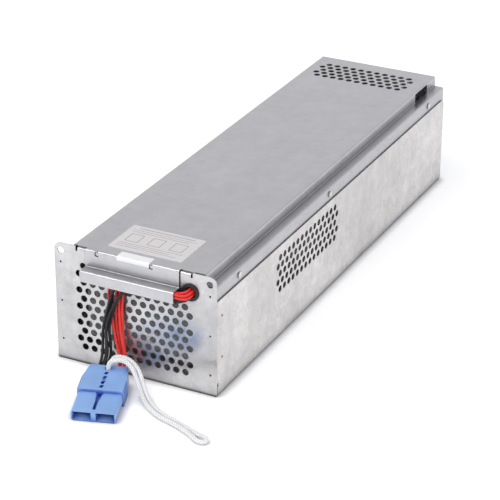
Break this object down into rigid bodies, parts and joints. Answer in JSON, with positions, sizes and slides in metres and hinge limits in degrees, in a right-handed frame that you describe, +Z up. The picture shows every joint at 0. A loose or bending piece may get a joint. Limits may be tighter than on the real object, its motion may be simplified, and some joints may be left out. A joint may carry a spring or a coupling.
{
  "type": "ups battery cartridge",
  "caption": "Slide-in battery cartridge for an uninterruptible power supply: sealed blocks in a folded, vented steel case with a pull handle, cable grommet and two-pole connector.",
  "frame": {"origin": "middle of the tray's underside, half way between the front plate's face and the rear panel's face", "axes": "+X across to the right as seen from the front, +Y from the front plate to the rear, +Z up"},
  "size_m": [0.2062, 0.6702, 0.126],
  "materials": {
    "galvanised_sheet": "galvanised, faint spangle",
    "zinc_screw": "zinc plated",
    "block_case": "moulded ABS, fine texture",
    "block_terminal": "tinned brass",
    "red_insulation": "satin PVC",
    "black_insulation": "satin PVC",
    "insulating_sheet": "pressed fibre sheet",
    "foam": "closed-cell foam",
    "pale_foam": "open-cell foam",
    "label_film": "printed film, satin",
    "grommet_rubber": "satin",
    "connector_plastic": "moulded polycarbonate, satin",
    "silvered_contact": "silver plated copper",
    "spring_steel": "stainless",
    "cord_fibre": "braided, matt"
  },
  "bodies": {
    "root": {"tray": "galvanised_sheet", "front_plate": "galvanised_sheet", "rear_panel": "galvanised_sheet", "hood": "galvanised_sheet", "hood_rail_left": "galvanised_sheet", "hood_rail_right": "galvanised_sheet", "divider": "galvanised_sheet", "block_guide_left": "galvanised_sheet", "block_guide_right": "galvanised_sheet", "front_stop": "galvanised_sheet", "rail_screws": "zinc_screw", "liner_front": "insulating_sheet", "liner_rear": "insulating_sheet", "battery_1": "block_case", "battery_2": "block_case", "battery_3": "block_case", "battery_4": "block_case", "battery_5": "block_case", "battery_6": "block_case", "battery_7": "block_case", "battery_8": "block_case", "battery_terminals": "block_terminal", "battery_links": "black_insulation", "black_harness": "black_insulation", "red_harness": "red_insulation", "hold_down_foam": "foam", "rear_foam": "foam", "front_foam": "pale_foam", "grommet": "grommet_rubber", "red_wire_1": "red_insulation", "red_wire_2": "red_insulation", "red_wire_3": "red_insulation", "red_wire_4": "red_insulation", "black_wire_1": "black_insulation", "black_wire_2": "black_insulation", "black_wire_3": "black_insulation", "black_wire_4": "black_insulation", "connector_housing": "connector_plastic", "connector_contacts": "silvered_contact", "contact_springs": "spring_steel", "pull_cord": "cord_fibre"}
  },
  "joints": []
}
